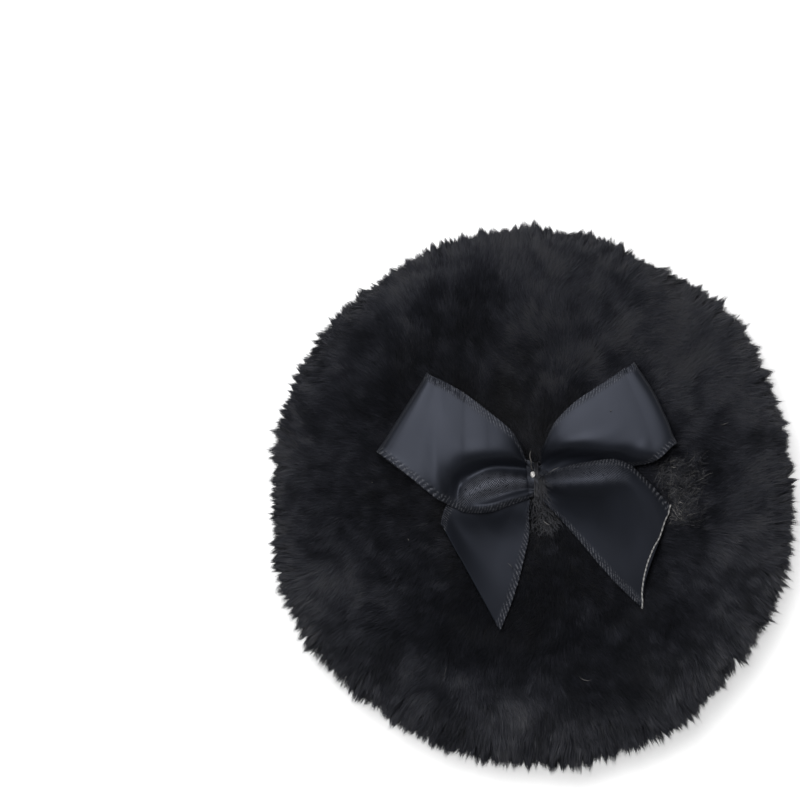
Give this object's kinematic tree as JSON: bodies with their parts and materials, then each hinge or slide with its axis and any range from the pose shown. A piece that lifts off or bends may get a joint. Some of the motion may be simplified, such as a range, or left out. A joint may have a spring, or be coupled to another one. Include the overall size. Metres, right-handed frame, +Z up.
{
  "type": "powder puff",
  "caption": "Round black plush powder puff: a stuffed, sewn pad with deep pile on both faces and a satin ribbon bow tacked to the crown as its grip.",
  "frame": {"origin": "middle of the puff's footprint, on the surface that it rests on", "axes": "+Z up through the crown, +Y towards the bow's loops, +X to the right with the bow seen from above"},
  "size_m": [0.09, 0.0936, 0.0315],
  "materials": {
    "plush_pile": "deep black plush pile, soft and matte with a faint grey sheen on the combed tufts",
    "knit_backing": "black knitted ground cloth under the pile",
    "fibre_filling": "off-white polyester fibre filling",
    "sewing_thread": "black spun sewing thread",
    "pale_thread": "pale grey thread end where the finishing knot catches the light",
    "satin_ribbon": "black single-face satin ribbon with a woven selvedge and a matte back"
  },
  "bodies": {
    "pad": {"bottom_pile": "plush_pile", "bottom_backing": "knit_backing", "filling": "fibre_filling", "edge_seam_thread": "sewing_thread", "closing_stitches": "sewing_thread", "top_backing": "knit_backing", "top_pile": "plush_pile", "anchor_knot": "sewing_thread", "anchor_stitch": "sewing_thread"},
    "bow": {"bow_centre_fold": "satin_ribbon", "cinch_thread": "sewing_thread", "bow_knot": "pale_thread"},
    "left_loop": {"bow_left_loop": "satin_ribbon"},
    "right_loop": {"bow_right_loop": "satin_ribbon"},
    "left_tail": {"bow_left_tail": "satin_ribbon"},
    "right_tail": {"bow_right_tail": "satin_ribbon"}
  },
  "joints": [
    {"name": "bow_swivel", "type": "hinge", "parent": "pad", "child": "bow", "pos_m": [0, 0.0022, 0.0245], "axis": [0, 0, 1], "range_deg": [-12, 12]},
    {"name": "left_loop_lift", "type": "hinge", "parent": "bow", "child": "left_loop", "pos_m": [-0.00088, -0.00084, 0.0273], "axis": [0.4691, 0.8832, 0], "range_deg": [0, 30]},
    {"name": "right_loop_lift", "type": "hinge", "parent": "bow", "child": "right_loop", "pos_m": [0.00216, 0.00236, 0.028], "axis": [0.5447, -0.8386, 0], "range_deg": [0, 30]},
    {"name": "left_tail_lift", "type": "hinge", "parent": "bow", "child": "left_tail", "pos_m": [-0.0024, -0.0026, 0.0268], "axis": [-0.9862, -0.1654, 0], "range_deg": [0, 60]},
    {"name": "right_tail_lift", "type": "hinge", "parent": "bow", "child": "right_tail", "pos_m": [0.00224, 0.00286, 0.0298], "axis": [-0.9806, -0.1959, 0], "range_deg": [0, 60]}
  ]
}
